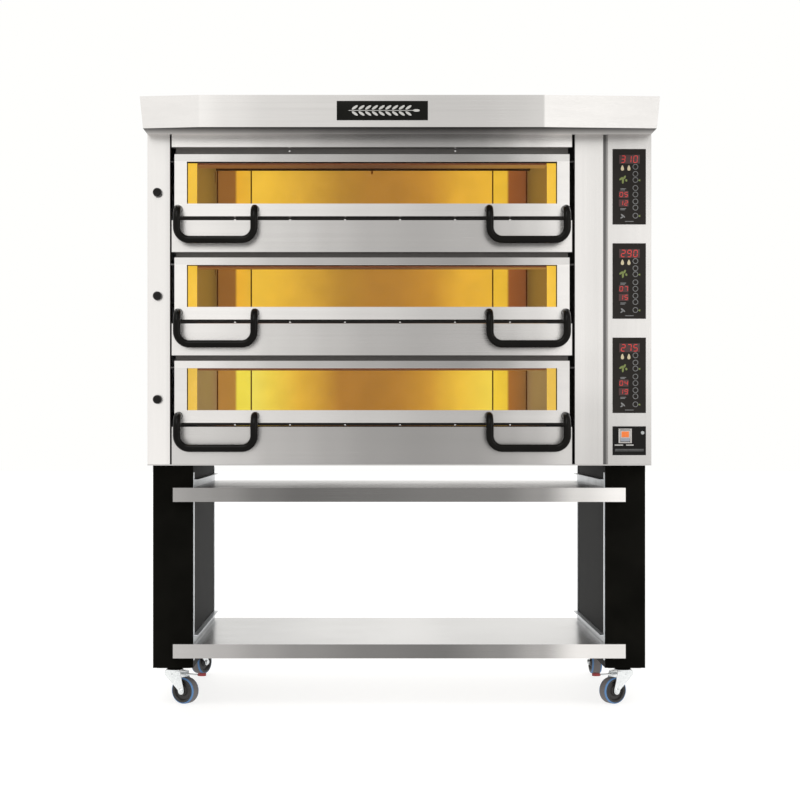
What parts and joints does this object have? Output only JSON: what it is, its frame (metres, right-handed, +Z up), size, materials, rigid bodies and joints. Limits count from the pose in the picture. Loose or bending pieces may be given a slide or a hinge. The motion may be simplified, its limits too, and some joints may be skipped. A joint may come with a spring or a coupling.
{
  "type": "deck oven on a wheeled stand",
  "caption": "Electric deck oven with glazed lift-up doors, bent pull handles and a control column, on a black stand with sliding shelves and swivel castors.",
  "frame": {"origin": "on the floor, below the middle of the whole object's bounding box", "axes": "+Z up, the doors face -Y, +X to the right as seen from the front"},
  "size_m": [1.519, 1.1332, 1.8473],
  "materials": {
    "brushed_stainless": "brushed stainless steel, grain along the length of each sheet",
    "galvanised": "plain galvanised sheet",
    "handle_black": "satin black powder coat on bent tube",
    "leg_black": "satin black powder coat",
    "chamber_enamel": "heat-tinted steel lining lit by the chamber lamps",
    "hearth_stone": "fired baking stone",
    "door_glass": "clear heat-resistant glass",
    "knob_black": "black phenolic",
    "display_black": "dark membrane foil with printed keys and lit digits",
    "plate_black": "black plate with a thin silver border",
    "mineral_wool": "pressed mineral wool",
    "element_steel": "dark oxidised heating bar",
    "switch_orange": "lit orange lens in a pale rocker",
    "wheel_rubber": "blue tread on a dark wheel centre",
    "zinc_steel": "bright zinc plate",
    "pedal_red": "zinc-plated lever with a dark red pad",
    "component_black": "moulded black housings",
    "gland_grey": "grey nylon"
  },
  "bodies": {
    "oven_and_stand": {"base_panel": "brushed_stainless", "left_side_panel": "brushed_stainless", "right_side_panel": "brushed_stainless", "rear_panel": "galvanised", "hood_canopy": "brushed_stainless", "nameplate": "plate_black", "left_front_post": "brushed_stainless", "right_front_post": "brushed_stainless", "control_column_fascia": "brushed_stainless", "top_fascia": "brushed_stainless", "heating_elements": "element_steel", "insulation_pack": "mineral_wool", "flue_duct": "galvanised", "switch_plate": "display_black", "power_electronics": "component_black", "cable_gland": "gland_grey", "left_stand_gable": "leg_black", "right_stand_gable": "leg_black", "left_shelf_runners": "galvanised", "right_shelf_runners": "galvanised", "top_deck_chamber": "chamber_enamel", "top_deck_hearth": "hearth_stone", "top_deck_front_panel": "brushed_stainless", "top_deck_control_panel": "display_black", "middle_deck_chamber": "chamber_enamel", "middle_deck_hearth": "hearth_stone", "middle_deck_front_panel": "brushed_stainless", "middle_deck_control_panel": "display_black", "bottom_deck_chamber": "chamber_enamel", "bottom_deck_hearth": "hearth_stone", "bottom_deck_front_panel": "brushed_stainless", "bottom_deck_control_panel": "display_black"},
    "top_deck_door": {"top_deck_door_frame": "brushed_stainless", "top_deck_door_glass": "door_glass", "top_deck_left_handle": "handle_black", "top_deck_right_handle": "handle_black"},
    "middle_deck_door": {"middle_deck_door_frame": "brushed_stainless", "middle_deck_door_glass": "door_glass", "middle_deck_left_handle": "handle_black", "middle_deck_right_handle": "handle_black"},
    "bottom_deck_door": {"bottom_deck_door_frame": "brushed_stainless", "bottom_deck_door_glass": "door_glass", "bottom_deck_left_handle": "handle_black", "bottom_deck_right_handle": "handle_black"},
    "top_deck_damper": {"top_deck_damper_knob": "knob_black"},
    "middle_deck_damper": {"middle_deck_damper_knob": "knob_black"},
    "bottom_deck_damper": {"bottom_deck_damper_knob": "knob_black"},
    "main_switch": {"main_switch_rocker": "switch_orange"},
    "upper_shelf_tray": {"upper_shelf": "brushed_stainless"},
    "lower_shelf_tray": {"lower_shelf": "brushed_stainless"},
    "front_left_fork": {"front_left_castor_fork": "zinc_steel"},
    "front_left_wheel": {"front_left_castor_wheel": "wheel_rubber"},
    "front_left_brake": {"front_left_brake_pedal": "pedal_red"},
    "front_right_fork": {"front_right_castor_fork": "zinc_steel"},
    "front_right_wheel": {"front_right_castor_wheel": "wheel_rubber"},
    "front_right_brake": {"front_right_brake_pedal": "pedal_red"},
    "rear_left_fork": {"rear_left_castor_fork": "zinc_steel"},
    "rear_left_wheel": {"rear_left_castor_wheel": "wheel_rubber"},
    "rear_right_fork": {"rear_right_castor_fork": "zinc_steel"},
    "rear_right_wheel": {"rear_right_castor_wheel": "wheel_rubber"}
  },
  "joints": [
    {"name": "top_deck_door_hinge", "type": "hinge", "parent": "oven_and_stand", "child": "top_deck_door", "pos_m": [-0.0815, -0.40935, 1.629], "axis": [-1, 0, 0], "range_deg": [0, 80]},
    {"name": "middle_deck_door_hinge", "type": "hinge", "parent": "oven_and_stand", "child": "middle_deck_door", "pos_m": [-0.0815, -0.40935, 1.3215], "axis": [-1, 0, 0], "range_deg": [0, 80]},
    {"name": "bottom_deck_door_hinge", "type": "hinge", "parent": "oven_and_stand", "child": "bottom_deck_door", "pos_m": [-0.0815, -0.40935, 1.014], "axis": [-1, 0, 0], "range_deg": [0, 80]},
    {"name": "top_deck_damper_pull", "type": "slide", "parent": "oven_and_stand", "child": "top_deck_damper", "axis": [0, -1, 0], "range_m": [0, 0.055]},
    {"name": "middle_deck_damper_pull", "type": "slide", "parent": "oven_and_stand", "child": "middle_deck_damper", "axis": [0, -1, 0], "range_m": [0, 0.055]},
    {"name": "bottom_deck_damper_pull", "type": "slide", "parent": "oven_and_stand", "child": "bottom_deck_damper", "axis": [0, -1, 0], "range_m": [0, 0.055]},
    {"name": "main_switch_rock", "type": "hinge", "parent": "oven_and_stand", "child": "main_switch", "pos_m": [0.6714, -0.42435, 0.8106], "axis": [-1, 0, 0], "range_deg": [0, 14]},
    {"name": "upper_shelf_slide", "type": "slide", "parent": "oven_and_stand", "child": "upper_shelf_tray", "axis": [0, -1, 0], "range_m": [0, 0.4]},
    {"name": "lower_shelf_slide", "type": "slide", "parent": "oven_and_stand", "child": "lower_shelf_tray", "axis": [0, -1, 0], "range_m": [0, 0.4]},
    {"name": "front_left_swivel", "type": "hinge", "parent": "oven_and_stand", "child": "front_left_fork", "pos_m": [-0.68, -0.30135, 0.1], "axis": [0, 0, 1], "continuous": true},
    {"name": "front_left_wheel_spin", "type": "hinge", "parent": "front_left_fork", "child": "front_left_wheel", "pos_m": [-0.64709, -0.32035, 0.04], "axis": [0.5, 0.866, 0], "continuous": true},
    {"name": "front_left_brake_press", "type": "hinge", "parent": "front_left_fork", "child": "front_left_brake", "pos_m": [-0.6748, -0.30435, 0.0895], "axis": [0.5, 0.866, 0], "range_deg": [0, 9]},
    {"name": "front_right_swivel", "type": "hinge", "parent": "oven_and_stand", "child": "front_right_fork", "pos_m": [0.68, -0.30135, 0.1], "axis": [0, 0, 1], "continuous": true},
    {"name": "front_right_wheel_spin", "type": "hinge", "parent": "front_right_fork", "child": "front_right_wheel", "pos_m": [0.64709, -0.32035, 0.04], "axis": [0.5, -0.866, 0], "continuous": true},
    {"name": "front_right_brake_press", "type": "hinge", "parent": "front_right_fork", "child": "front_right_brake", "pos_m": [0.6748, -0.30435, 0.0895], "axis": [0.5, -0.866, 0], "range_deg": [0, 9]},
    {"name": "rear_left_swivel", "type": "hinge", "parent": "oven_and_stand", "child": "rear_left_fork", "pos_m": [-0.68, 0.37465, 0.1], "axis": [0, 0, 1], "continuous": true},
    {"name": "rear_left_wheel_spin", "type": "hinge", "parent": "rear_left_fork", "child": "rear_left_wheel", "pos_m": [-0.661, 0.40756, 0.04], "axis": [-0.866, 0.5, 0], "continuous": true},
    {"name": "rear_right_swivel", "type": "hinge", "parent": "oven_and_stand", "child": "rear_right_fork", "pos_m": [0.68, 0.37465, 0.1], "axis": [0, 0, 1], "continuous": true},
    {"name": "rear_right_wheel_spin", "type": "hinge", "parent": "rear_right_fork", "child": "rear_right_wheel", "pos_m": [0.67669, 0.41251, 0.04], "axis": [-0.9962, -0.0872, 0], "continuous": true}
  ]
}
